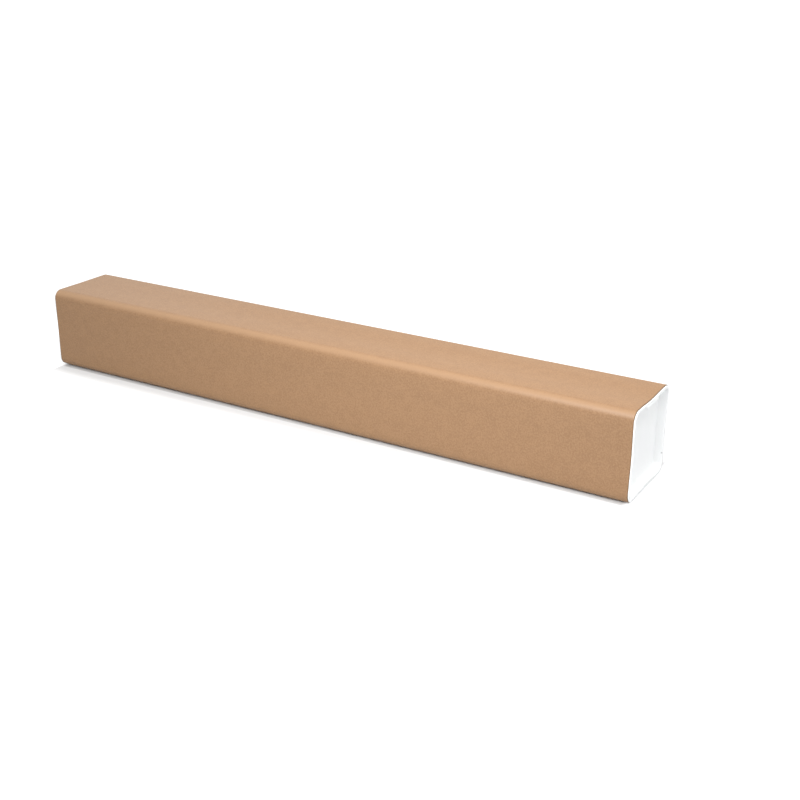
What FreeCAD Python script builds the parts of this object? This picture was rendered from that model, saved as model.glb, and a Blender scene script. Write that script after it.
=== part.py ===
"""Square poster mailer: a wound kraft board tube and the two push-in caps that close its ends.

Millimetres. X runs along the tube, Z is up, and the origin is at the middle of the tube's underside.
Every outline here is the same rounded square: four rounded corners joined by four sides that are
slightly hollow, as wound board draws in between its corners. Each outline is the board's outer one,
moved inwards by its own inset, so the plug follows the bore and the flange follows the tube.
"""

import FreeCAD
import Part
import math
import os
from enum import IntEnum

import Sketcher

SIZES = {
    # the tube
    "board_length": 860,  # fits a rolled A0 sheet, 841 wide
    "board_side": 111,  # outer width and height, over the corners
    "board_wall": 3,
    "corner_radius": 11.5,  # outer
    "side_hollow": 1.2,  # how far the middle of a side lies inside the line over its corners
    "land_width": 6,  # flat strip of a side next to each corner
    # the end caps
    "flange_thickness": 1.5,
    "flange_inset": 0.5,  # the flange's edge lies this far inside the tube's outer surface
    "plug_clearance": 0.2,  # between the plug and the bore, all round
    "plug_wall": 1.25,
    "plug_depth": 10.5,  # from the board's cut end inwards
    "plug_draft": 1,  # degrees, on both sides of the plug's wall
    "face_thickness": 1.5,  # the sunk face at the plug's inner end
    "lead_bevel": 1.2,  # outer edge of the plug's inner end
    "floor_round": 1,  # where the sunk face meets the plug's wall
    "rim_bevel": 0.35,  # both edges of the flange's outer face
    "lip_length": 34,
    "lip_reach": 2,  # how far the grip lip stands into the recess, past the flange
    "lip_thickness": 1.5,
    "lip_corner": 0.8,
}

QUARTERS = range(4)
NEAR = 1e-3  # how closely a face has to lie in the plane where it is looked for

# how a sketch constraint names the sketch's own origin and axes
ORIGIN = (-1, 1)
X_AXIS = (-1,)
Y_AXIS = (-2,)


class Point(IntEnum):
    """The numbers by which a sketch constraint names the points of a line or an arc."""

    START = 1
    END = 2
    CENTRE = 3


# the outline's values as expressions over the sheet
CORNER_AT = "(Sizes.board_side / 2 - Sizes.corner_radius)"
HOLLOW_RUN = f"({CORNER_AT} - Sizes.land_width)"
BEND_RADIUS = f"(({HOLLOW_RUN} ^ 2 + Sizes.side_hollow ^ 2) / (4 * Sizes.side_hollow))"
BORE_INSET = "Sizes.board_wall"
FLANGE_INSET = "Sizes.flange_inset"
PLUG_INSET = "(Sizes.board_wall + Sizes.plug_clearance)"
RECESS_INSET = "(Sizes.board_wall + Sizes.plug_clearance + Sizes.plug_wall)"
RECESS_DEPTH = "(Sizes.plug_depth - Sizes.face_thickness)"
RECESS_TOP = f"(Sizes.board_side / 2 - Sizes.side_hollow - {RECESS_INSET})"
FLANGE_TOP = "(Sizes.board_side / 2 - Sizes.side_hollow - Sizes.flange_inset)"
DRAFT = "-Sizes.plug_draft"
LIP_ROOT = f"(({RECESS_TOP} + {FLANGE_TOP}) / 2)"
LIP_FOOT = f"({RECESS_TOP} - Sizes.lip_reach)"


def make_sheet(doc):
    """The driving dimensions, one named cell each."""
    sheet = doc.addObject("Spreadsheet::Sheet", "Sizes")
    for row, (name, value) in enumerate(SIZES.items(), start=1):
        sheet.set(f"A{row}", name)
        sheet.set(f"B{row}", str(value))
        sheet.setAlias(f"B{row}", name)
    doc.recompute()
    return sheet


def make_body(doc, label):
    """An empty body that holds one sub-part."""
    body = doc.addObject("PartDesign::Body", label)
    body.Label = label
    return body


def end_plane_sketch(body, name, height="0"):
    """A sketch across the tube's axis, `height` out along +X. Its x is the part's Y and its y is Z."""
    plane = next(item for item in body.Origin.OriginFeatures if item.Role == "YZ_Plane")
    sketch = body.newObject("Sketcher::SketchObject", name)
    sketch.AttachmentSupport = [(plane, "")]
    sketch.MapMode = "FlatFace"
    sketch.setExpression(".AttachmentOffset.Base.z", height)
    return sketch


def arc(centre, radius, start_degrees, end_degrees):
    circle = Part.Circle(FreeCAD.Vector(centre[0], centre[1], 0), FreeCAD.Vector(0, 0, 1), radius)
    return Part.ArcOfCircle(circle, math.radians(start_degrees), math.radians(end_degrees))


def line(start, end):
    return Part.LineSegment(FreeCAD.Vector(start[0], start[1], 0), FreeCAD.Vector(end[0], end[1], 0))


def turned(point, quarter):
    """The point after that many quarter turns."""
    x, y = point
    for _ in range(quarter):
        x, y = -y, x
    return x, y


def hold(sketch, constraint, name=None, expression=None):
    """Adds one constraint and binds it to the sheet if an expression is given."""
    index = sketch.addConstraint(constraint)
    if name:
        sketch.renameConstraint(index, name)
        sketch.setExpression(f"Constraints.{name}", expression)


def draw_outline(sketch, inset):
    """The hollow-sided rounded square, `inset` inside the tube's outer surface.

    Each side is a flat land, a convex bend, the long hollow, another bend and a land, all tangent.
    Moving the outline inwards keeps every centre: bends and corners lose the inset, hollows gain it.
    """
    half = sketch.evalExpression("Sizes.board_side / 2")
    hollow_depth = sketch.evalExpression("Sizes.side_hollow")
    corner_at = sketch.evalExpression(CORNER_AT)
    run = sketch.evalExpression(HOLLOW_RUN)
    bend = sketch.evalExpression(BEND_RADIUS)
    corner_radius = sketch.evalExpression(f"Sizes.corner_radius - {inset}")
    shift = sketch.evalExpression(inset)
    swing = math.degrees(math.asin(run / (2 * bend)))
    reach = (bend - shift) / (2 * bend)
    turn_point = (run * (1 - reach), bend - half - reach * (2 * bend - hollow_depth))

    sides = []
    for quarter in QUARTERS:
        square = 90 * quarter
        level = shift - half
        a = turned((-corner_at, level), quarter)
        b = turned((-run, level), quarter)
        c = turned((run, level), quarter)
        d = turned((corner_at, level), quarter)
        bend_in = turned((-run, bend - half), quarter)
        bend_out = turned((run, bend - half), quarter)
        hollow = turned((0, hollow_depth - half - bend), quarter)
        corner = turned((corner_at, -corner_at), quarter)
        shapes = [
            line(a, b),
            arc(bend_in, bend - shift, square - 90, square - 90 + swing),
            arc(hollow, bend + shift, square + 90 - swing, square + 90 + swing),
            arc(bend_out, bend - shift, square - 90 - swing, square - 90),
            line(c, d),
            arc(corner, corner_radius, square - 90, square),
        ]
        sides.append([sketch.addGeometry(shape) for shape in shapes])
    return sides


def constrain_outline(sketch, sides, inset):
    """Ties the outline to the sheet: tangent joints, level lands, and a few sizes."""
    for quarter, side in enumerate(sides):
        land_in, bend_in, hollow, bend_out, land_out, corner = side
        next_land = sides[(quarter + 1) % len(sides)][0]
        joints = [
            (land_in, Point.END, bend_in, Point.START),
            (bend_in, Point.END, hollow, Point.END),
            (hollow, Point.START, bend_out, Point.START),
            (bend_out, Point.END, land_out, Point.START),
            (land_out, Point.END, corner, Point.START),
            (corner, Point.END, next_land, Point.START),
        ]
        for joint in joints:
            hold(sketch, Sketcher.Constraint("Tangent", *joint))
        level = "Vertical" if quarter % 2 else "Horizontal"
        for land in (land_in, land_out):
            hold(sketch, Sketcher.Constraint(level, land))

    lands = [side[piece] for side in sides for piece in (0, 4)]
    bends = [side[piece] for side in sides for piece in (1, 3)]
    hollows = [side[2] for side in sides]
    corners = [side[5] for side in sides]
    for group in (lands, bends, hollows, corners):
        for other in group[1:]:
            hold(sketch, Sketcher.Constraint("Equal", group[0], other))
    first, second, third, fourth = corners
    hold(sketch, Sketcher.Constraint("Symmetric", first, Point.CENTRE, second, Point.CENTRE, *X_AXIS))
    hold(sketch, Sketcher.Constraint("Symmetric", first, Point.CENTRE, fourth, Point.CENTRE, *Y_AXIS))
    hold(sketch, Sketcher.Constraint("Symmetric", first, Point.CENTRE, third, Point.CENTRE, *ORIGIN))

    at = sketch.evalExpression(CORNER_AT)
    land_width = sketch.evalExpression("Sizes.land_width")
    bend = f"{BEND_RADIUS} - {inset}"
    hollow = f"{BEND_RADIUS} + {inset}"
    corner = f"Sizes.corner_radius - {inset}"
    sizes = [
        ("across", CORNER_AT, "DistanceX", (*ORIGIN, first, Point.CENTRE, at)),
        ("down", CORNER_AT, "DistanceY", (first, Point.CENTRE, *ORIGIN, at)),
        ("land", "Sizes.land_width", "Distance", (lands[0], land_width)),
        ("bend", bend, "Radius", (bends[0], sketch.evalExpression(bend))),
        ("hollow", hollow, "Radius", (hollows[0], sketch.evalExpression(hollow))),
        ("corner", corner, "Radius", (first, sketch.evalExpression(corner))),
    ]
    for name, expression, kind, arguments in sizes:
        hold(sketch, Sketcher.Constraint(kind, *arguments), name, expression)


def outline_sketch(body, name, inset, height="0"):
    """A complete outline, `inset` inside the tube's outer surface and `height` out along +X."""
    sketch = end_plane_sketch(body, name, height)
    sides = draw_outline(sketch, inset)
    constrain_outline(sketch, sides, inset)
    return sketch


def pad(body, name, sketch, length, backwards=False, draft=None):
    """Material raised on a sketch."""
    feature = body.newObject("PartDesign::Pad", name)
    feature.Profile = sketch
    feature.Reversed = backwards
    feature.setExpression("Length", length)
    if draft:
        feature.setExpression("TaperAngle", draft)
    return feature


def pocket(body, name, sketch, length, draft=None):
    """Material taken away behind a sketch, towards -X."""
    feature = body.newObject("PartDesign::Pocket", name)
    feature.Profile = sketch
    feature.setExpression("Length", length)
    if draft:
        feature.setExpression("TaperAngle", draft)
    return feature


def loop_edges(feature, x, inner=False):
    """Names of the edges round the flat face that lies across the axis at `x`: its outline or its hole."""
    feature.Document.recompute()
    shape = feature.Shape
    ends = [(face, face.BoundBox.XMin, face.BoundBox.XMax) for face in shape.Faces]
    face = next(face for face, low, high in ends if abs(low - x) < NEAR and abs(high - x) < NEAR)
    wires = [wire for wire in face.Wires if wire.isSame(face.OuterWire) != inner]
    wanted = [edge for wire in wires for edge in wire.Edges]
    numbered = enumerate(shape.Edges, start=1)
    return [f"Edge{number}" for number, edge in numbered if any(edge.isSame(other) for other in wanted)]


def rounded(body, name, base, edges, radius):
    """The edges of `base` rounded off."""
    feature = body.newObject("PartDesign::Fillet", name)
    feature.Base = (base, edges)
    feature.setExpression("Radius", radius)
    return feature


def bevelled(body, name, base, edges, size):
    """The edges of `base` bevelled at 45 degrees."""
    feature = body.newObject("PartDesign::Chamfer", name)
    feature.Base = (base, edges)
    feature.setExpression("Size", size)
    return feature


def make_tube(doc):
    """The wound board tube: the outline run along X, with the bore through it."""
    body = make_body(doc, "tube")
    outside = outline_sketch(body, "board_outline", "0")
    board = pad(body, "board", outside, "Sizes.board_length")
    board.SideType = "Symmetric"
    inside = outline_sketch(body, "bore_outline", BORE_INSET)
    bore = pocket(body, "bore", inside, "Sizes.board_length")
    bore.SideType = "Symmetric"
    body.setExpression("Placement.Base.z", "Sizes.board_side / 2")
    return body


def lip_sketch(body):
    """The grip lip, rooted in the flange and hanging into the recess, with its lower corners rounded."""
    sketch = end_plane_sketch(body, "lip_outline", "Sizes.flange_thickness")
    value = sketch.evalExpression
    half = value("Sizes.lip_length / 2")
    top = value(LIP_ROOT)
    bottom = value(LIP_FOOT)
    radius = value("Sizes.lip_corner")
    shapes = [
        line((half, top), (-half, top)),
        line((-half, top), (-half, bottom + radius)),
        arc((radius - half, bottom + radius), radius, 180, 270),
        line((radius - half, bottom), (half - radius, bottom)),
        arc((half - radius, bottom + radius), radius, 270, 360),
        line((half, bottom + radius), (half, top)),
    ]
    root, left, left_corner, foot, right_corner, right = [sketch.addGeometry(shape) for shape in shapes]
    joints = [
        ("Coincident", (root, Point.END, left, Point.START)),
        ("Tangent", (left, Point.END, left_corner, Point.START)),
        ("Tangent", (left_corner, Point.END, foot, Point.START)),
        ("Tangent", (foot, Point.END, right_corner, Point.START)),
        ("Tangent", (right_corner, Point.END, right, Point.START)),
        ("Coincident", (right, Point.END, root, Point.START)),
        ("Vertical", (left,)),
        ("Horizontal", (foot,)),
        ("Vertical", (right,)),
        ("Equal", (left_corner, right_corner)),
        ("Symmetric", (root, Point.START, root, Point.END, *Y_AXIS)),
    ]
    for kind, arguments in joints:
        hold(sketch, Sketcher.Constraint(kind, *arguments))
    sizes = [
        ("length", "Sizes.lip_length", "Distance", (root, 2 * half)),
        ("root", LIP_ROOT, "DistanceY", (*ORIGIN, root, Point.START, top)),
        ("foot", LIP_FOOT, "DistanceY", (*ORIGIN, foot, Point.START, bottom)),
        ("corner", "Sizes.lip_corner", "Radius", (left_corner, radius)),
    ]
    for name, expression, kind, arguments in sizes:
        hold(sketch, Sketcher.Constraint(kind, *arguments), name, expression)
    return sketch


def make_end_cap(doc, label, end, half_turns):
    """A push-in cap, modelled with the board's cut end at x = 0 and outwards along +X.

    A flange covers the cut end, a drafted tray goes into the bore, and a small lip for a fingertip
    hangs over the tray in the middle of the top side.
    """
    body = make_body(doc, label)
    value = body.evalExpression
    front = value("Sizes.flange_thickness")
    flange_outline = outline_sketch(body, "flange_outline", FLANGE_INSET)
    pad(body, "flange", flange_outline, "Sizes.flange_thickness")
    plug_outline = outline_sketch(body, "plug_outline", PLUG_INSET)
    pad(body, "plug", plug_outline, "Sizes.plug_depth", backwards=True, draft=DRAFT)
    mouth = outline_sketch(body, "recess_outline", RECESS_INSET, "Sizes.flange_thickness")
    recess = pocket(body, "recess", mouth, f"Sizes.flange_thickness + {RECESS_DEPTH}", draft=DRAFT)

    lead_edges = loop_edges(recess, -value("Sizes.plug_depth"))
    lead = bevelled(body, "lead_in", recess, lead_edges, "Sizes.lead_bevel")
    floor_edges = loop_edges(lead, -value(RECESS_DEPTH))
    floor = rounded(body, "tray_floor_round", lead, floor_edges, "Sizes.floor_round")
    rim_edges = loop_edges(floor, front) + loop_edges(floor, front, inner=True)
    bevelled(body, "rim_bevels", floor, rim_edges, "Sizes.rim_bevel")

    pad(body, "grip_lip", lip_sketch(body), "Sizes.lip_thickness", backwards=True)

    turn = FreeCAD.Rotation(FreeCAD.Vector(0, 0, 1), 180 * half_turns)
    body.Placement = FreeCAD.Placement(FreeCAD.Vector(), turn)
    body.setExpression("Placement.Base.x", f"{end} * Sizes.board_length / 2")
    body.setExpression("Placement.Base.z", "Sizes.board_side / 2")
    return body


def check_document(doc):
    """Stops if a feature failed or a sub-part is not one valid solid."""
    for item in doc.Objects:
        if "Invalid" in item.State or "Error" in item.State:
            raise RuntimeError(f"{item.Label} failed: {item.getStatusString()}")
    for body in doc.findObjects("PartDesign::Body"):
        shape = body.Shape
        if shape.isNull() or not shape.isValid() or len(shape.Solids) != 1:
            raise RuntimeError(f"{body.Label} is not one valid solid")


def main():
    doc = FreeCAD.newDocument("square_poster_mailer")
    make_sheet(doc)
    make_tube(doc)
    make_end_cap(doc, "end_cap_right", end=1, half_turns=0)
    make_end_cap(doc, "end_cap_left", end=-1, half_turns=1)
    doc.recompute()
    check_document(doc)
    os.makedirs("parts", exist_ok=True)
    for body in doc.findObjects("PartDesign::Body"):
        body.Shape.exportStep(f"parts/{body.Label}.step")
        print(body.Label, round(body.Shape.Volume, 1), "mm3")


main()
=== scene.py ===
"""Looks of a square poster mailer: a wound kraft board tube with a moulded white cap in each end.

Metres, in the part's own frame: X runs along the tube, Z is up, and the floor is at Z = 0. The
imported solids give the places. The tube and the caps are built here again as finer meshes, from the
same rounded square with hollow sides, and stand for the solids that they replace.
"""

import math
from typing import NamedTuple

import bpy
from bpy.props import FloatProperty, FloatVectorProperty, IntProperty, PointerProperty
from bpy.types import Operator, Panel, PropertyGroup
from mathutils import Matrix, Vector, noise


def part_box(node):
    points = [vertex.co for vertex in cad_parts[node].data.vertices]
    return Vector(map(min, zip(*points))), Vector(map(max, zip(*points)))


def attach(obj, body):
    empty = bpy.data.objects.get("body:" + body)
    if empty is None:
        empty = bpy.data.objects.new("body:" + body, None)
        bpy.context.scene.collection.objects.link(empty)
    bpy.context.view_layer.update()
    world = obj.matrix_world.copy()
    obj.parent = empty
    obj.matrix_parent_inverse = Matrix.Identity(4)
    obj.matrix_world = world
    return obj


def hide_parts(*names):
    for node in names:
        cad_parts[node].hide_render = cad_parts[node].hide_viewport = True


bl_info = {
    "name": "Square poster mailer",
    "version": (1, 0, 0),
    "blender": (4, 5, 0),
    "location": "View3D > Sidebar > Mailer",
    "description": "A wound kraft board tube with push-in caps, and the studio around it",
    "category": "Add Mesh",
}

MM = 0.001

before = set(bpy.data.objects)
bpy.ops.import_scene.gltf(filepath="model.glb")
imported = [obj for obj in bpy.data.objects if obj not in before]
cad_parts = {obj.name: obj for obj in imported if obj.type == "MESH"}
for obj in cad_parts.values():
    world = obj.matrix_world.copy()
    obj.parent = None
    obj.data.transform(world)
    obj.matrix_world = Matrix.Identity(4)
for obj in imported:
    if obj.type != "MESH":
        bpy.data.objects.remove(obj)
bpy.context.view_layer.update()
tube_low, tube_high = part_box("tube")
cap_low, cap_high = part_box("end_cap_right")

QUARTERS = 4
# the sides are counted from the bottom one, anticlockwise seen from +X
BOTTOM_SIDE, BACK_SIDE, TOP_SIDE = 0, 1, 2
AXIS_HEIGHT = (tube_low.z + tube_high.z) / 2
SPACING = 3 * MM  # between the points of a side, about
CORNER_STEPS = 12
SHARP_FOLD = math.radians(35)
NEARLY_STRAIGHT = 1.5  # half of the angle between two runs of a section, in radians
SENSOR_WIDTH = 36  # of the camera, in millimetres

# Waves in the faces, in noise cells per metre along X, across and up, and their shares of the depth.
SLOW_WAVES, SLOW_SHARE = (7, 12, 12), 0.38
QUICK_WAVES, QUICK_SHARE = (24, 30, 30), 0.12
QUICK_START = 9  # where in the noise the quick waves start, away from the slow ones
FRAY_CELLS = 180  # per metre of the outline
PLY_STEP = 5.3  # from one ply's fray to the next one's, in noise cells

# Small rounds of the cap's section.
CREASE = 0.1 * MM
EDGE_CREASE = 0.05 * MM
MOUTH_ROUND = 0.12 * MM
LIP_FOOT_ROUND = 0.2 * MM
EDGE_ROUND = 0.35 * MM
RIM_ROUND = 0.4 * MM
FLOOR_ROUND = 1 * MM
LEAD_ROUND = 1.2 * MM
FACE_SHARES = (0.02, 0.03, 0.12, 0.25, 0.4, 0.55, 0.7, 0.85, 0.95)  # rings over a flat face

# Painted light: a white glow on the floor that only the camera sees. From one distance to another it rises
# by this much. The shade at the foot of the long sides stays, and past the ends the glow covers the shade.
FOOT = (0.5 * MM, 2.5 * MM, 0.21)
APRON = (8 * MM, 36 * MM, 0.32)
END_WALL = (-8 * MM, 1 * MM, 0.53)
FAR = (0.1, 1.0, 0.47)
SPRUE_MARK = (0.3 * MM, 50.6 * MM, -31.8 * MM)  # from the middle of the board's cut end


def linear(code):
    """A hex sRGB colour as linear red, green and blue."""
    shares = [int(code[start : start + 2], 16) / 255 for start in (1, 3, 5)]
    return tuple(s / 12.92 if s <= 0.04045 else ((s + 0.055) / 1.055) ** 2.4 for s in shares)


# ---------------------------------------------------------------- sizes and colours


def length(name, default, description):
    """A length in metres that the sidebar shows."""
    return FloatProperty(name=name, default=default, description=description, unit="LENGTH", precision=5)


def position(name, default, description):
    """A place in metres that the sidebar shows."""
    return FloatVectorProperty(name=name, default=default, description=description, subtype="TRANSLATION")


def slant(name, degrees, description):
    """An angle that the sidebar shows."""
    return FloatProperty(name=name, default=math.radians(degrees), description=description, subtype="ANGLE")


def fraction(name, default, description):
    """A share of a whole that the sidebar shows."""
    return FloatProperty(name=name, default=default, description=description, subtype="FACTOR")


def wattage(name, default, description):
    """A lamp's power in watts that the sidebar shows."""
    return FloatProperty(name=name, default=default, description=description, unit="POWER")


def colour(name, code, description):
    """A colour that the sidebar shows, given as hex sRGB."""
    return FloatVectorProperty(name=name, default=linear(code), description=description, subtype="COLOR")


class BoardSizes(PropertyGroup):
    """The wound tube."""

    run: length("Length", tube_high.x - tube_low.x, "From one cut end to the other")
    side: length("Side", tube_high.z - tube_low.z, "Outer width and height, over the corners")
    wall: length("Wall", 3 * MM, "Thickness of the wound board")
    corner_radius: length("Corner radius", 11.5 * MM, "Outer radius of the four corners")
    hollow: length("Hollow", 1.2 * MM, "How far the middle of a side lies inside its corners")
    full_from: length("Full from", 130 * MM, "How far left of the middle the sides begin to fill out")
    full_share: fraction("Full share", 0.85, "How much of the hollow is gone at the left end")
    land: length("Land", 6 * MM, "Flat strip of a side next to each corner")
    plies: IntProperty(name="Plies", default=7, min=2, description="Turns of paper in the wall")
    waviness: length("Waviness", 0.22 * MM, "Depth of the shallow unevenness of the faces")
    seam_at: length("Seam", 27 * MM, "The outer ply's free edge, below the middle of the back side")
    seam_lip: length("Seam lip", 0.3 * MM, "Width of the step at the seam")
    seam_fade: length("Seam fade", 30 * MM, "Width over which the step at the seam dies away")
    ring_step: length("Ring step", 5 * MM, "Between the rings of points along the tube")
    fray: length("Fray", 0.09 * MM, "Unevenness of the plies at the cut ends")
    curl_length: length("Curl length", 0.7 * MM, "Length over which the liner curls in at a cut end")
    curl_depth: length("Curl depth", 0.38 * MM, "How far it curls in")


class CapSizes(PropertyGroup):
    """A push-in cap."""

    flange: length("Flange", cap_high.x - tube_high.x, "Thickness of the flange on the cut end")
    flange_inset: length(
        "Flange inset", tube_high.z - cap_high.z, "From the tube's outside to the flange's edge"
    )
    rim_width: length("Rim width", 1.6 * MM, "Outer part of the flange, which hangs a little low")
    rim_drop: length("Rim drop", 0.4 * MM, "How much lower it hangs than the plug")
    rim_corner: length("Rim corner", 1.2 * MM, "How much rounder the flange's corners are than the tube's")
    face_margin: length("Face margin", 1.8 * MM, "From the plug's wall to where the flat face begins")
    face_corner: length(
        "Face corner", 3 * MM, "How much rounder the sunk face's corners are than the plug's"
    )
    depth: length("Depth", tube_high.x - cap_low.x, "From the cut end to the plug's inner end")
    clearance: length("Clearance", 0.2 * MM, "Between the plug and the bore")
    wall: length("Wall", 1.25 * MM, "Thickness of the plug's wall at its mouth")
    face: length("Face", 1.5 * MM, "Thickness of the sunk face")
    draft: slant("Draft", 1, "Taper of the plug's wall")
    lip_length: length("Lip length", 34 * MM, "Grip lip in the middle of the top side")
    lip_reach: length("Lip reach", 2 * MM, "How far the lip stands into the recess")
    lip_corner: length("Lip corner", 0.8 * MM, "Radius of the lip's lower corners")
    lip_sink: length("Lip sink", 0.45 * MM, "Depth of the lip's front behind its bead")
    bead_width: length("Bead width", 1.2 * MM, "Bead on the lip's lower edge")
    bead_foot: length("Bead foot", 1.8 * MM, "From the lip's lower edge to where its front is sunk")
    edge_width: length("Edge width", 0.8 * MM, "Outermost part of the flange, which isn't sunk")
    edge_foot: length("Edge foot", 1.1 * MM, "From the flange's edge to where the lip's front is sunk")
    crown: length("Crown", 0.25 * MM, "Rise in the middle of the sunk face")
    gate: length("Gate mark", 0.35 * MM, "Height of the moulding mark inside")


class Finishes(PropertyGroup):
    """Colours of the real materials, and a paler kraft painted as a highlight on the upper bends."""

    kraft: colour("Kraft", "#A17D5A", "Outer liner of the board")
    # painted highlight: paler kraft drawn along the upper bends, where they face the light
    kraft_painted_highlight: colour("Painted highlight kraft", "#AE8B69", "Outer liner where it is rubbed along the bends")
    kraft_dark: colour("Kraft fibre", "#745235", "Darker fibres and flecks in the liner")
    board_edge: colour("Board edge", "#866E55", "Cut edge of the plies")
    bore: colour("Bore", "#9C7C5E", "Inner liner of the board")
    plastic: colour("Plastic", "#F9FAFA", "The caps")
    sprue: colour("Sprue mark", "#77797B", "Grey mark on each cap's inner wall")
    floor: colour("Floor", "#CACBCC", "Light that the seamless paper under the mailer throws back")


class StudioSizes(PropertyGroup):
    """The camera, the floor and the light."""

    camera_place: position("Camera", (0.8277, -1.2203, 0.6073), "Place of the camera")
    camera_yaw: slant("Yaw", 30.658, "Turn to the left")
    camera_dip: slant("Dip", 21.831, "Tilt downwards")
    camera_roll: slant("Roll", 0.381, "Turn of the view")
    lens: FloatProperty(
        name="Lens", default=54.64, description="Focal length in millimetres", unit="CAMERA"
    )
    floor_size: length("Floor", 60, "Side of the seamless paper")
    ambient: fraction("Room light", 0.84, "Strength of the light from all round")
    key: wattage("Key light", 5.55, "Power of the lamp above the front")
    key_place: position("Key place", (0.3, -0.55, 0.62), "Place of the key lamp")
    key_aim: length("Key aim", 0.2, "Where on the tube's axis the key lamp is aimed")
    key_size: length("Key size", 0.45, "Side of the key lamp")
    top: wattage("Top light", 20.3, "Power of the lamp high above")
    top_place: position("Top place", (1.3, -0.1, 2.4), "Place of the top lamp")
    top_aim: length("Top aim", 0.3, "Where on the tube's axis the top lamp is aimed")
    top_size: length("Top size", 1.2, "Side of the top lamp")
    back: wattage("Back light", 1.5, "Power of the lamp behind on the left")
    back_place: position("Back place", (-1.5, 1.0, 1.0), "Place of the back lamp")
    back_aim: length("Back aim", 0, "Where on the tube's axis the back lamp is aimed")
    back_size: length("Back size", 1.0, "Side of the back lamp")


# ---------------------------------------------------------------- the outline of tube and caps


class Stop(NamedTuple):
    """One point of the outline, seen from +X: across is +Y and up is +Z, from the tube's axis."""

    side: int
    along: float
    place: Vector
    normal: Vector


def side_point(board, along):
    """One point of a side, `along` from its middle: its distance from the axis and its lean.

    Next to each corner lies a flat land. From there a convex bend and a hollow one of the same
    radius, tangent to each other, lead to the middle.
    """
    half = board.side / 2
    run = half - board.corner_radius - board.land
    bend = (run**2 + board.hollow**2) / (4 * board.hollow)
    off = abs(along)
    if off >= run:
        return half, 0
    if off >= run / 2:
        lean = -math.copysign(math.asin((run - off) / bend), along)
        return half - bend + math.sqrt(bend**2 - (run - off) ** 2), lean
    return half - board.hollow + bend - math.sqrt(bend**2 - along**2), -math.asin(along / bend)


def outline(board, extra_stops):
    """The tube's outer outline as stops: each side from its start, and the corner after it."""
    corner_at = board.side / 2 - board.corner_radius
    count = round(2 * corner_at / SPACING)
    alongs = sorted({corner_at * (2 * step / count - 1) for step in range(count + 1)} | set(extra_stops))
    found = []
    for side in range(QUARTERS):
        turn = Matrix.Rotation(side * math.pi / 2, 2)
        for along in alongs:
            out, lean = side_point(board, along)
            place, normal = Vector((along, -out)), Vector((math.sin(lean), -math.cos(lean)))
            found.append(Stop(side, along, turn @ place, turn @ normal))
        for step in range(1, CORNER_STEPS):
            angle = step / CORNER_STEPS * math.pi / 2
            normal = Vector((math.sin(angle), -math.cos(angle)))
            place = Vector((corner_at, -corner_at)) + board.corner_radius * normal
            found.append(Stop(side, corner_at, turn @ place, turn @ normal))
    return found


def at(x, stop, inset):
    """The point that lies `inset` inside the outline at that stop, at that x, about the tube's axis."""
    across, up = stop.place - stop.normal * inset
    return Vector((x, across, up))


def add_mesh(name, points, faces, materials, face_materials):
    """A mesh object with smooth faces and sharp folds. It keeps the materials in their slots."""
    mesh = bpy.data.meshes.new(name)
    mesh.from_pydata(points, [], faces)
    for material in materials:
        mesh.materials.append(material)
    mesh.polygons.foreach_set("material_index", face_materials)
    mesh.shade_smooth()
    mesh.set_sharp_from_angle(angle=SHARP_FOLD)
    mesh.validate()
    thing = bpy.data.objects.new(name, mesh)
    bpy.context.scene.collection.objects.link(thing)
    return thing


def band(first, second, count):
    """The faces between two rings of `count` points that start at these numbers."""
    for step in range(count):
        after = (step + 1) % count
        yield first + step, first + after, second + after, second + step


# ---------------------------------------------------------------- materials


def add_node(tree, kind, settings=None, inputs=None):
    """A node with its settings. Each input gets a value, or a link if a socket is given for it."""
    node = tree.nodes.new(kind)
    for name, value in (settings or {}).items():
        setattr(node, name, value)
    for name, value in (inputs or {}).items():
        if isinstance(value, bpy.types.NodeSocket):
            tree.links.new(value, node.inputs[name])
        else:
            node.inputs[name].default_value = value
    return node


def new_material(name):
    """An empty node material with its tree and the surface's input."""
    material = bpy.data.materials.new(name)
    material.use_nodes = True
    tree = material.node_tree
    tree.nodes.clear()
    output = add_node(tree, "ShaderNodeOutputMaterial")
    return material, tree, output.inputs["Surface"]


def opaque(rgb):
    """A colour as a node's input takes it, with its alpha."""
    return (*rgb, 1)


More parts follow.
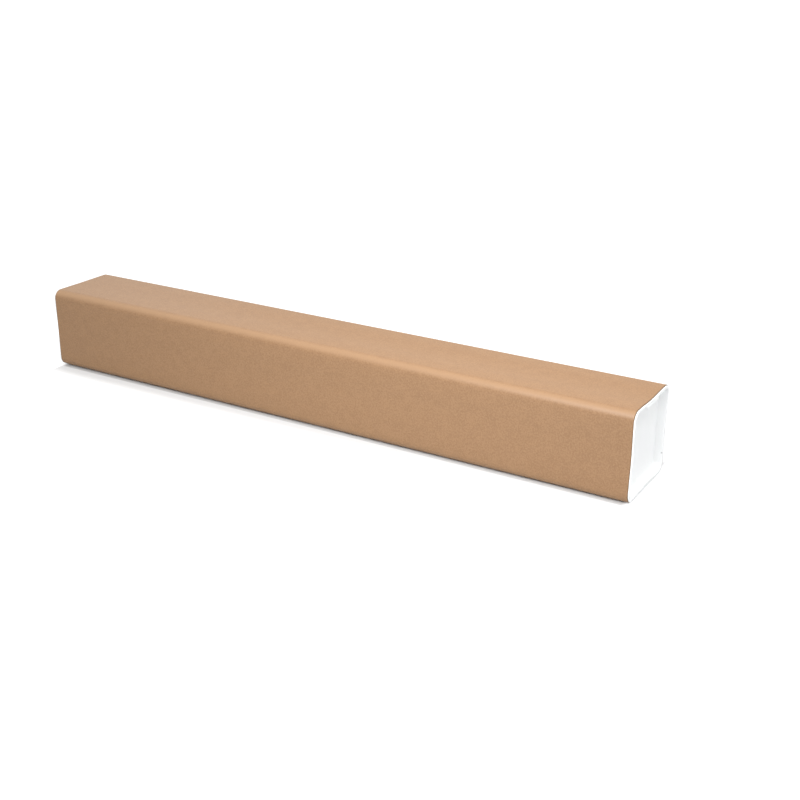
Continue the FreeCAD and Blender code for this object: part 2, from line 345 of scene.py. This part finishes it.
def kraft_liner(finishes, corner_at):
    """Brown kraft liner, unbleached softwood paper wound round the tube.

    The eye sees a matt, warm brown with a fine mottle of fibres that lie round the tube, a few dark
    flecks of bark, and a painted highlight: paler kraft along the two upper bends, where they face the
    light.
    """
    material, tree, surface = new_material("kraft_liner")
    place = add_node(tree, "ShaderNodeTexCoord").outputs["Object"]
    # fibres lie round the tube, so the pattern is twice as long across X as along it
    lie = add_node(tree, "ShaderNodeMapping", inputs={"Vector": place, "Scale": (1, 0.5, 0.5)}).outputs[0]
    # fibre bundles are 0.1 mm wide; drawn 1.1 mm wide so that they show
    fibres = add_node(
        tree,
        "ShaderNodeTexNoise",
        inputs={"Vector": lie, "Scale": 1 / (1.1 * MM), "Detail": 3.0, "Roughness": 0.6},
    ).outputs["Fac"]
    # the mottle of the sheet, grains of about 1.8 mm
    mottle = add_node(
        tree,
        "ShaderNodeTexNoise",
        inputs={"Vector": place, "Scale": 1 / (1.8 * MM), "Detail": 2.0, "Roughness": 0.6},
    ).outputs["Fac"]
    # clouds of denser pulp, about 14 mm
    clouds = add_node(
        tree, "ShaderNodeTexNoise", inputs={"Vector": place, "Scale": 1 / (14 * MM), "Detail": 2.0}
    ).outputs["Fac"]
    fine = add_node(tree, "ShaderNodeMath", {"operation": "ADD"}, {0: fibres, 1: mottle}).outputs[0]
    whole = add_node(
        tree, "ShaderNodeMath", {"operation": "MULTIPLY_ADD"}, {0: clouds, 1: 0.3, 2: fine}
    ).outputs[0]
    shade = add_node(
        tree,
        "ShaderNodeMapRange",
        inputs={"Value": whole, "From Min": 1.0, "From Max": 1.3, "To Min": 0.33, "To Max": 0.0},
    ).outputs[0]
    paper = add_node(
        tree,
        "ShaderNodeMix",
        {"data_type": "RGBA"},
        {0: shade, 6: opaque(finishes.kraft), 7: opaque(finishes.kraft_dark)},
    ).outputs[2]
    # painted highlight: the liner is drawn paler along the two upper bends, where they face the light, most
    # on their upper half
    parts = add_node(tree, "ShaderNodeSeparateXYZ", inputs={0: place})
    across = add_node(tree, "ShaderNodeMath", {"operation": "ABSOLUTE"}, {0: parts.outputs[1]}).outputs[0]
    up = add_node(
        tree, "ShaderNodeMath", {"operation": "SUBTRACT"}, {0: parts.outputs[2], 1: 1.5 * MM}
    ).outputs[0]
    reach = add_node(tree, "ShaderNodeMath", {"operation": "MINIMUM"}, {0: across, 1: up}).outputs[0]
    bend = add_node(
        tree,
        "ShaderNodeMapRange",
        {"interpolation_type": "SMOOTHSTEP"},
        {"Value": reach, "From Min": corner_at + 1 * MM, "From Max": corner_at + 7 * MM, "To Max": 0.75},
    ).outputs[0]
    # the painted highlight is mixed into the paper here
    highlighted = add_node(
        tree, "ShaderNodeMix", {"data_type": "RGBA"}, {0: bend, 6: paper, 7: opaque(finishes.kraft_painted_highlight)}
    ).outputs[2]
    # bark flecks: one in each 5 mm cell at most, and only in some of them
    cells = add_node(
        tree, "ShaderNodeTexVoronoi", inputs={"Vector": place, "Scale": 1 / (5 * MM), "Randomness": 1.0}
    )
    near = add_node(
        tree,
        "ShaderNodeMapRange",
        {"interpolation_type": "SMOOTHSTEP"},
        {
            "Value": cells.outputs["Distance"],
            "From Min": 0.05,
            "From Max": 0.12,
            "To Min": 0.55,
            "To Max": 0.0,
        },
    ).outputs[0]
    chosen = add_node(
        tree, "ShaderNodeMath", {"operation": "GREATER_THAN"}, {0: cells.outputs["Color"], 1: 0.72}
    ).outputs[0]
    fleck = add_node(tree, "ShaderNodeMath", {"operation": "MULTIPLY"}, {0: near, 1: chosen}).outputs[0]
    colour_out = add_node(
        tree, "ShaderNodeMix", {"data_type": "RGBA"}, {0: fleck, 6: highlighted, 7: opaque(finishes.kraft_dark)}
    ).outputs[2]
    relief = add_node(
        tree, "ShaderNodeBump", inputs={"Height": whole, "Strength": 0.35, "Distance": 0.05 * MM}
    )
    shader = add_node(
        tree,
        "ShaderNodeBsdfPrincipled",
        inputs={
            "Base Color": colour_out,
            "Roughness": 0.47,
            "IOR": 1.5,
            "Diffuse Roughness": 0.6,
            "Normal": relief.outputs["Normal"],
        },
    )
    tree.links.new(shader.outputs["BSDF"], surface)
    return material


def board_edge(finishes):
    """Sawn edge of grey-brown board: open fibre ends, rougher and duller than the liner."""
    material, tree, surface = new_material("board_cut_edge")
    place = add_node(tree, "ShaderNodeTexCoord").outputs["Object"]
    # fibre ends are 0.03 mm wide; drawn 0.5 mm wide so that they show
    fibres = add_node(
        tree, "ShaderNodeTexNoise", inputs={"Vector": place, "Scale": 1 / (0.5 * MM), "Detail": 4.0}
    ).outputs["Fac"]
    shade = add_node(
        tree,
        "ShaderNodeMapRange",
        inputs={"Value": fibres, "From Min": 0.3, "From Max": 0.7, "To Min": 0.5, "To Max": 0.0},
    ).outputs[0]
    paper = add_node(
        tree,
        "ShaderNodeMix",
        {"data_type": "RGBA"},
        {0: shade, 6: opaque(finishes.board_edge), 7: opaque(finishes.kraft_dark)},
    ).outputs[2]
    relief = add_node(
        tree, "ShaderNodeBump", inputs={"Height": fibres, "Strength": 0.8, "Distance": 0.1 * MM}
    )
    shader = add_node(
        tree,
        "ShaderNodeBsdfPrincipled",
        inputs={"Base Color": paper, "Roughness": 0.9, "IOR": 1.4, "Normal": relief.outputs["Normal"]},
    )
    tree.links.new(shader.outputs["BSDF"], surface)
    return material


def bore_liner(finishes):
    """Recycled inner liner: a flatter, greyer brown than the outside, with a coarse mottle."""
    material, tree, surface = new_material("bore_liner")
    place = add_node(tree, "ShaderNodeTexCoord").outputs["Object"]
    # flocks of recycled pulp, about 2.5 mm
    mottle = add_node(
        tree,
        "ShaderNodeTexNoise",
        inputs={"Vector": place, "Scale": 1 / (2.5 * MM), "Detail": 4.0, "Roughness": 0.6},
    ).outputs["Fac"]
    shade = add_node(
        tree,
        "ShaderNodeMapRange",
        inputs={"Value": mottle, "From Min": 0.3, "From Max": 0.7, "To Min": 0.35, "To Max": 0.0},
    ).outputs[0]
    paper = add_node(
        tree,
        "ShaderNodeMix",
        {"data_type": "RGBA"},
        {0: shade, 6: opaque(finishes.bore), 7: opaque(finishes.kraft_dark)},
    ).outputs[2]
    relief = add_node(
        tree, "ShaderNodeBump", inputs={"Height": mottle, "Strength": 0.4, "Distance": 0.05 * MM}
    )
    shader = add_node(
        tree,
        "ShaderNodeBsdfPrincipled",
        inputs={"Base Color": paper, "Roughness": 0.8, "IOR": 1.45, "Normal": relief.outputs["Normal"]},
    )
    tree.links.new(shader.outputs["BSDF"], surface)
    return material


def moulded_polyethylene(finishes):
    """White low-density polyethylene, injection moulded: satin, slightly waxy and a little translucent."""
    material, tree, surface = new_material("moulded_polyethylene")
    place = add_node(tree, "ShaderNodeTexCoord").outputs["Object"]
    # spark-eroded mould texture, grains of 0.4 mm; drawn 0.8 mm so that it shows
    grain = add_node(
        tree, "ShaderNodeTexNoise", inputs={"Vector": place, "Scale": 1 / (0.8 * MM), "Detail": 2.0}
    ).outputs["Fac"]
    # slow unevenness where the wall shrank in the mould, about 20 mm
    sink = add_node(
        tree, "ShaderNodeTexNoise", inputs={"Vector": place, "Scale": 1 / (20 * MM), "Detail": 1.0}
    ).outputs["Fac"]
    height = add_node(
        tree, "ShaderNodeMath", {"operation": "MULTIPLY_ADD"}, {0: sink, 1: 3.0, 2: grain}
    ).outputs[0]
    relief = add_node(
        tree, "ShaderNodeBump", inputs={"Height": height, "Strength": 0.3, "Distance": 0.03 * MM}
    )
    gloss = add_node(
        tree,
        "ShaderNodeMapRange",
        inputs={"Value": grain, "From Min": 0.3, "From Max": 0.7, "To Min": 0.34, "To Max": 0.44},
    ).outputs[0]
    # grey mark where the sprue was cut off, just inside the rim
    gap = add_node(
        tree, "ShaderNodeVectorMath", {"operation": "DISTANCE"}, {0: place, 1: SPRUE_MARK}
    ).outputs["Value"]
    mark = add_node(
        tree,
        "ShaderNodeMapRange",
        {"interpolation_type": "SMOOTHSTEP"},
        {"Value": gap, "From Min": 0.7 * MM, "From Max": 1.6 * MM, "To Min": 0.45, "To Max": 0.0},
    ).outputs[0]
    plastic = add_node(
        tree,
        "ShaderNodeMix",
        {"data_type": "RGBA"},
        {0: mark, 6: opaque(finishes.plastic), 7: opaque(finishes.sprue)},
    ).outputs[2]
    shader = add_node(
        tree,
        "ShaderNodeBsdfPrincipled",
        inputs={
            "Base Color": plastic,
            "Roughness": gloss,
            "IOR": 1.51,
            "Subsurface Weight": 0.15,
            "Subsurface Radius": (1.0, 1.0, 1.0),
            "Subsurface Scale": 1.0 * MM,
            "Normal": relief.outputs["Normal"],
        },
    )
    tree.links.new(shader.outputs["BSDF"], surface)
    return material


def floor_paper(finishes):
    """Seamless white background paper, matt.

    The camera sees it whiter than the light that it throws back, so that it stays white all round.
    """
    material, tree, surface = new_material("seamless_floor_paper")
    place = add_node(tree, "ShaderNodeTexCoord").outputs["Object"]
    # the paper's tooth is 0.2 mm wide; drawn 2 mm wide so that it shows
    tooth = add_node(
        tree, "ShaderNodeTexNoise", inputs={"Vector": place, "Scale": 1 / (2 * MM)}
    ).outputs["Fac"]
    relief = add_node(
        tree, "ShaderNodeBump", inputs={"Height": tooth, "Strength": 0.1, "Distance": 0.05 * MM}
    )
    paper = add_node(
        tree,
        "ShaderNodeBsdfDiffuse",
        inputs={"Color": opaque(finishes.floor), "Normal": relief.outputs["Normal"]},
    )
    # how far a point lies outside the mailer's footprint, and how far past its ends
    half_size = (tube_high.x, tube_high.y, 1)
    spread = add_node(tree, "ShaderNodeVectorMath", {"operation": "ABSOLUTE"}, {0: place}).outputs[0]
    over = add_node(
        tree, "ShaderNodeVectorMath", {"operation": "SUBTRACT"}, {0: spread, 1: half_size}
    ).outputs[0]
    outside = add_node(
        tree, "ShaderNodeVectorMath", {"operation": "MAXIMUM"}, {0: over, 1: (0, 0, 0)}
    ).outputs[0]
    away = add_node(tree, "ShaderNodeVectorMath", {"operation": "LENGTH"}, {0: outside}).outputs["Value"]
    past = add_node(tree, "ShaderNodeSeparateXYZ", inputs={0: over}).outputs[0]
    # painted light: the glow's strength, shaped round the mailer's footprint and past its ends
    steps = []
    for value, start, end, share in ((away, *FOOT), (away, *APRON), (past, *END_WALL), (away, *FAR)):
        step = add_node(
            tree,
            "ShaderNodeMapRange",
            {"interpolation_type": "SMOOTHSTEP"},
            {"Value": value, "From Min": start, "From Max": end, "To Max": share},
        )
        steps.append(step.outputs[0])
    near = add_node(tree, "ShaderNodeMath", {"operation": "ADD"}, {0: steps[0], 1: steps[1]}).outputs[0]
    near = add_node(tree, "ShaderNodeMath", {"operation": "MAXIMUM"}, {0: near, 1: steps[2]}).outputs[0]
    white = add_node(tree, "ShaderNodeMath", {"operation": "ADD"}, {0: near, 1: steps[3]}).outputs[0]
    seen = add_node(tree, "ShaderNodeLightPath").outputs["Is Camera Ray"]
    shown = add_node(tree, "ShaderNodeMath", {"operation": "MULTIPLY"}, {0: white, 1: seen}).outputs[0]
    glow = add_node(tree, "ShaderNodeEmission", inputs={"Strength": shown})
    both = add_node(tree, "ShaderNodeAddShader", inputs={0: paper.outputs[0], 1: glow.outputs[0]})
    tree.links.new(both.outputs[0], surface)
    return material


# ---------------------------------------------------------------- the wound tube


def lap_inset(board, stop):
    """How far the outer ply's free edge leaves the surface beside it lower. It runs along the back."""
    past = stop.along + board.seam_at
    if stop.side != BACK_SIDE or not 0 < past < board.seam_fade:
        return 0
    return board.wall / board.plies * (1 - past / board.seam_fade)


def unevenness(board, x, stop):
    """Shallow waves that winding and handling leave in the faces, always inwards."""
    place = Vector((x, *stop.place))
    # the waves lie on both sides of half the depth
    slow = noise.noise(place * Vector(SLOW_WAVES))
    quick = noise.noise(place * Vector(QUICK_WAVES) + Vector((QUICK_START, 0, 0)))
    return board.waviness * (0.5 + SLOW_SHARE * slow + QUICK_SHARE * quick)


def fullness(board, x, stop):
    """How far a side's hollow is filled out. At the left end the side is nearly flat."""
    depth = board.side / 2 - side_point(board, stop.along)[0]
    share = min(1, max(0, (-x - board.full_from) / (board.run / 2 - board.full_from)))
    return board.full_share * share**2 * (3 - 2 * share) * depth


def surface_inset(board, x, stop):
    """How far the liner's surface lies inside the outline there."""
    return unevenness(board, x, stop) + lap_inset(board, stop) - fullness(board, x, stop)


def cut_end(board, stops, end):
    """The rings over a cut end from outside to inside: the curl, then each ply with a groove after it."""
    groove = 0.5 * board.fray
    ply_profile = ((0.12, 0), (0.8, 0), (1, groove))  # share of the ply's thickness, depth
    curl_angles = (0.5, 0.9, 1.25)  # radians round the curl
    starts = [surface_inset(board, end, stop) for stop in stops]
    rings = []
    for angle in curl_angles:
        back = max(board.curl_length * (1 - math.sin(angle)), board.fray)
        depth = board.curl_depth * (1 - math.cos(angle))
        x = end - math.copysign(back, end)
        rings.append([at(x, stop, start + depth) for stop, start in zip(stops, starts)])
    for number in range(board.plies):
        for share, sunk in ply_profile:
            ring = []
            for stop, start in zip(stops, starts):
                left = board.wall - start - board.curl_depth
                inset = board.wall - left * (1 - (number + share) / board.plies)
                fibre = noise.noise(Vector((number * PLY_STEP, *(stop.place * FRAY_CELLS))))
                ragged = (1 + fibre) / 2
                back = board.fray * ragged + sunk
                ring.append(at(end - math.copysign(back, end), stop, inset))
            rings.append(ring)
    rings.pop()  # the bore's own ring closes the last ply
    return rings


class MAILER_OT_wound_tube(Operator):
    """Build the wound board tube with its lap seam and its cut plies"""

    bl_idname = "mailer.wound_tube"
    bl_label = "Wound tube"

    def execute(self, context):
        scene = context.scene
        board, finishes = scene.mailer_board, scene.mailer_finishes
        seam = (-board.seam_at, -board.seam_at + board.seam_lip)
        stops = outline(board, seam)
        end = board.run / 2
        edge = board.curl_length
        ring_count = round(board.run / board.ring_step)
        xs = [-end + edge + (board.run - 2 * edge) * step / ring_count for step in range(ring_count + 1)]

        outside = []
        for x in xs:
            outside.append([at(x, stop, surface_inset(board, x, stop)) for stop in stops])
        inner_steps = 24
        bore_xs = [(end - edge) * (1 - 2 * step / inner_steps) for step in range(inner_steps + 1)]
        bore = [[at(x, stop, board.wall) for stop in stops] for x in bore_xs]
        right = cut_end(board, stops, end)
        left = cut_end(board, stops, -end)
        left.reverse()

        rings = outside + right + bore + left
        liner_bands, edge_bands, bore_bands = len(outside) - 1, len(right) + 1, len(bore) - 1
        band_materials = [0] * liner_bands + [1] * edge_bands + [2] * bore_bands + [1] * edge_bands
        count = len(stops)
        points = [point for ring in rings for point in ring]
        faces, face_materials = [], []
        for number, slot in enumerate(band_materials):
            following = (number + 1) % len(rings)
            new_faces = list(band(number * count, following * count, count))
            faces += new_faces
            face_materials += [slot] * len(new_faces)
        corner_at = board.side / 2 - board.corner_radius
        materials = [kraft_liner(finishes, corner_at), board_edge(finishes), bore_liner(finishes)]
        tube = add_mesh("wound_board_tube", points, faces, materials, face_materials)
        tube.location.z = AXIS_HEIGHT
        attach(tube, "tube")
        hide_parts("tube")
        return {"FINISHED"}


# ---------------------------------------------------------------- the caps


def rounded_path(corners, steps):
    """The path through the corners (inset, x, radius), each but the first and last rounded off."""
    path = [Vector(corners[0][:2])]
    for before, here, after in zip(corners, corners[1:], corners[2:]):
        corner = Vector(here[:2])
        back = (Vector(before[:2]) - corner).normalized()
        ahead = (Vector(after[:2]) - corner).normalized()
        half_angle = back.angle(ahead) / 2
        reach = here[2] / math.tan(half_angle) if half_angle < NEARLY_STRAIGHT else here[2]
        start, end = corner + back * reach, corner + ahead * reach
        for step in range(steps + 1):
            share = step / steps
            path.append(start.lerp(corner, share).lerp(corner.lerp(end, share), share))
    path.append(Vector(corners[-1][:2]))
    return path


def lip_reach(board, cap, stop):
    """How far the grip lip stands out of the recess wall at that stop. Its foot is level."""
    half = cap.lip_length / 2
    off = abs(stop.along)
    if stop.side != TOP_SIDE or off > half:
        return 0
    over = max(0, off - half + cap.lip_corner)
    foot = cap.lip_reach - cap.lip_corner + math.sqrt(cap.lip_corner**2 - over**2)
    return foot + side_point(board, off)[0] - side_point(board, 0)[0]


def lip_sink(cap, stop):
    """How deep the lip's front lies between the rim and the bead on its lower edge."""
    inside = cap.lip_length / 2 - abs(stop.along)
    if stop.side != TOP_SIDE or inside <= 0:
        return 0
    return cap.lip_sink * min(1, inside / cap.lip_corner)


def cap_section(board, cap, stop):
    """The cap's section at one stop, from the sunk face over the rim to the plug's inner end.

    Each corner is its inset from the tube's outside, its x, and the radius that it is rounded to.
    """
    reach, sink = lip_reach(board, cap, stop), lip_sink(cap, stop)
    turning = abs(stop.normal.x) + abs(stop.normal.y) - 1  # 0 on a side, most in the middle of a corner
    rim = cap.flange_inset + cap.rim_corner * turning
    plug = board.wall + cap.clearance
    mouth = plug + cap.wall
    lip_edge = mouth + reach
    floor_x = cap.face - cap.depth
    plug_end = plug + cap.depth * math.tan(cap.draft)
    floor_edge = mouth + (cap.flange - floor_x) * math.tan(cap.draft) + cap.face_corner * turning
    face_inset = cap_face_inset(board, cap) + cap.face_corner * turning
    # beside the lip the corner at its foot lies on the wall, clear of the corners before and after it
    foot_x = 0 if reach else 0.4 * cap.flange
    corners = [
        (face_inset, floor_x, 0),
        (floor_edge, floor_x, FLOOR_ROUND),
        (mouth, 0, MOUTH_ROUND),
        (lip_edge, foot_x, LIP_FOOT_ROUND),
        (lip_edge, cap.flange, EDGE_ROUND),
        (lip_edge - cap.bead_width, cap.flange, CREASE),
        (lip_edge - cap.bead_foot, cap.flange - sink, CREASE),
        (rim + cap.edge_foot, cap.flange - sink, CREASE),
        (rim + cap.edge_width, cap.flange, EDGE_CREASE),
        (rim, cap.flange, RIM_ROUND),
        (rim, 0, EDGE_ROUND),
        (plug, 0, CREASE),
        (plug_end, -cap.depth, LEAD_ROUND),
        (face_inset, -cap.depth, 0),
    ]
    return rounded_path(corners, steps=4)


def rim_drop(board, cap, stop, inset):
    """How much lower the rim lies than the plug there. The cap hangs on its foot, which is straight."""
    share = min(1, max(0, (board.wall - inset) / (board.wall - cap.rim_width)))
    foot = board.side / 2 - side_point(board, stop.along)[0] if stop.side == BOTTOM_SIDE else 0
    return share * (cap.rim_drop + foot)


def cap_face_inset(board, cap):
    """The inset at which the rings over a flat face begin, clear of the rounds beside it."""
    return board.wall + cap.clearance + cap.wall + cap.face_margin


def shrunk(edge_ring, share):
    """A ring inside a flat face: the ring round it drawn in, and rounder the smaller it gets."""
    radius = sum(Vector(point.yz).length for point in edge_ring) / len(edge_ring)
    ring = []
    for point in edge_ring:
        across_up = Vector(point.yz)
        round_one = across_up.normalized() * radius
        across, up = across_up.lerp(round_one, 1 - share) * share
        ring.append(Vector((point.x, across, up)))
    return ring


def crowned(cap, edge_ring, share):
    """A ring inside a flat face that rises a little towards its middle."""
    ring = shrunk(edge_ring, share)
    for point in ring:
        point.x += cap.crown * (1 - share**2)
    return ring


def cap_mesh(board, cap, name, material):
    """A cap about its own middle, with the board's cut end at x = 0 and outwards along +X."""
    lip_end = cap.lip_length / 2
    backs = (-0.04 * MM, 0, 0.1 * MM, 0.4 * MM, cap.lip_corner)  # from the lip's end towards its middle
    stops = outline(board, [sign * (lip_end - back) for sign in (-1, 1) for back in backs])
    sections = [cap_section(board, cap, stop) for stop in stops]
    rings = []
    for number in range(len(sections[0])):
        ring = []
        for section, stop in zip(sections, stops):
            inset, x = section[number]
            point = at(x, stop, inset)
            point.z -= rim_drop(board, cap, stop, inset)
            ring.append(point)
        rings.append(ring)

    front_rings = [crowned(cap, rings[0], share) for share in FACE_SHARES]
    back_rings = [crowned(cap, rings[-1], share) for share in reversed(FACE_SHARES)]
    for point in back_rings[-1]:
        point.x -= cap.gate
    rings = front_rings + rings + back_rings

    count = len(stops)
    points = [point for ring in rings for point in ring]
    faces = []
    for number in range(len(rings) - 1):
        faces += band((number + 1) * count, number * count, count)
    last = (len(rings) - 1) * count
    faces.append(tuple(range(count)))
    faces.append(tuple(reversed(range(last, last + count))))
    return add_mesh(name, points, faces, [material], [0] * len(faces))


class MAILER_OT_end_caps(Operator):
    """Build the two moulded end caps with their grip lips"""

    bl_idname = "mailer.end_caps"
    bl_label = "End caps"

    def execute(self, context):
        scene = context.scene
        board, cap = scene.mailer_board, scene.mailer_cap
        material = moulded_polyethylene(scene.mailer_finishes)
        for hand, end, turn in (("right", tube_high.x, 0), ("left", tube_low.x, math.pi)):
            piece = cap_mesh(board, cap, f"moulded_cap_{hand}", material)
            piece.matrix_world = Matrix.Translation((end, 0, AXIS_HEIGHT)) @ Matrix.Rotation(turn, 4, "Z")
            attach(piece, f"cap_{hand}")
            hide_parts(f"end_cap_{hand}")
        return {"FINISHED"}


# ---------------------------------------------------------------- the studio


def add_lamp(name, place, aim, power, size):
    """A square soft lamp aimed at a place on the tube's axis. The camera doesn't see it."""
    data = bpy.data.lights.new(name, "AREA")
    data.energy = power
    data.size = size
    lamp = bpy.data.objects.new(name, data)
    lamp.visible_camera = False
    lamp.location = place
    target = Vector((aim, 0, AXIS_HEIGHT))
    lamp.rotation_euler = (target - Vector(place)).to_track_quat("-Z", "Y").to_euler()
    bpy.context.scene.collection.objects.link(lamp)


class MAILER_OT_studio(Operator):
    """Build the floor, the soft light and the camera"""

    bl_idname = "mailer.studio"
    bl_label = "Studio"

    def execute(self, context):
        scene = context.scene
        studio = scene.mailer_studio

        half = studio.floor_size / 2
        corners = [(-half, -half, 0), (half, -half, 0), (half, half, 0), (-half, half, 0)]
        floor = add_mesh("studio_floor", corners, [(0, 1, 2, 3)], [floor_paper(scene.mailer_finishes)], [0])

        world = bpy.data.worlds.new("white_room")
        world.use_nodes = True
        tree = world.node_tree
        tree.nodes.clear()
        kind = add_node(tree, "ShaderNodeLightPath")
        level = add_node(
            tree,
            "ShaderNodeMapRange",
            inputs={"Value": kind.outputs["Is Camera Ray"], "To Min": studio.ambient, "To Max": 1.0},
        ).outputs[0]
        white = add_node(tree, "ShaderNodeBackground", inputs={"Color": (1, 1, 1, 1), "Strength": level})
        add_node(tree, "ShaderNodeOutputWorld", inputs={"Surface": white.outputs[0]})
        scene.world = world

        add_lamp("key_softbox", studio.key_place, studio.key_aim, studio.key, studio.key_size)
        add_lamp("top_softbox", studio.top_place, studio.top_aim, studio.top, studio.top_size)
        add_lamp("back_softbox", studio.back_place, studio.back_aim, studio.back, studio.back_size)

        camera = bpy.data.objects.new("camera", bpy.data.cameras.new("camera"))
        camera.data.sensor_width = SENSOR_WIDTH
        camera.data.lens = studio.lens
        tilt = math.pi / 2 - studio.camera_dip
        camera.matrix_world = (
            Matrix.Translation(studio.camera_place)
            @ Matrix.Rotation(studio.camera_yaw, 4, "Z")
            @ Matrix.Rotation(tilt, 4, "X")
            @ Matrix.Rotation(studio.camera_roll, 4, "Z")
        )
        scene.collection.objects.link(camera)
        scene.camera = camera
        scene.view_settings.view_transform = "Standard"
        return {"FINISHED"}


# ---------------------------------------------------------------- the add-on


class MAILER_PT_panel(Panel):
    """The mailer's sizes, colours and build steps"""

    bl_idname = "MAILER_PT_panel"
    bl_label = "Square poster mailer"
    bl_space_type = "VIEW_3D"
    bl_region_type = "UI"
    bl_category = "Mailer"

    def draw(self, context):
        scene = context.scene
        for settings in GROUPS:
            box = self.layout.box()
            group = getattr(scene, settings)
            for name in GROUPS[settings].__annotations__:
                box.prop(group, name)
        for step in STEPS:
            self.layout.operator(step.bl_idname)


GROUPS = {
    "mailer_board": BoardSizes,
    "mailer_cap": CapSizes,
    "mailer_finishes": Finishes,
    "mailer_studio": StudioSizes,
}
STEPS = (MAILER_OT_wound_tube, MAILER_OT_end_caps, MAILER_OT_studio)


def register():
    """Register the classes and hang the settings on the scene."""
    for cls in (*GROUPS.values(), *STEPS, MAILER_PT_panel):
        bpy.utils.register_class(cls)
    for name, cls in GROUPS.items():
        setattr(bpy.types.Scene, name, PointerProperty(type=cls))


def unregister():
    """Take the settings and the classes away again."""
    for name in GROUPS:
        delattr(bpy.types.Scene, name)
    for cls in reversed((*GROUPS.values(), *STEPS, MAILER_PT_panel)):
        bpy.utils.unregister_class(cls)


def main():
    """Build everything in order."""
    register()
    bpy.ops.mailer.wound_tube()
    bpy.ops.mailer.end_caps()
    bpy.ops.mailer.studio()


if __name__ == "__main__":
    main()
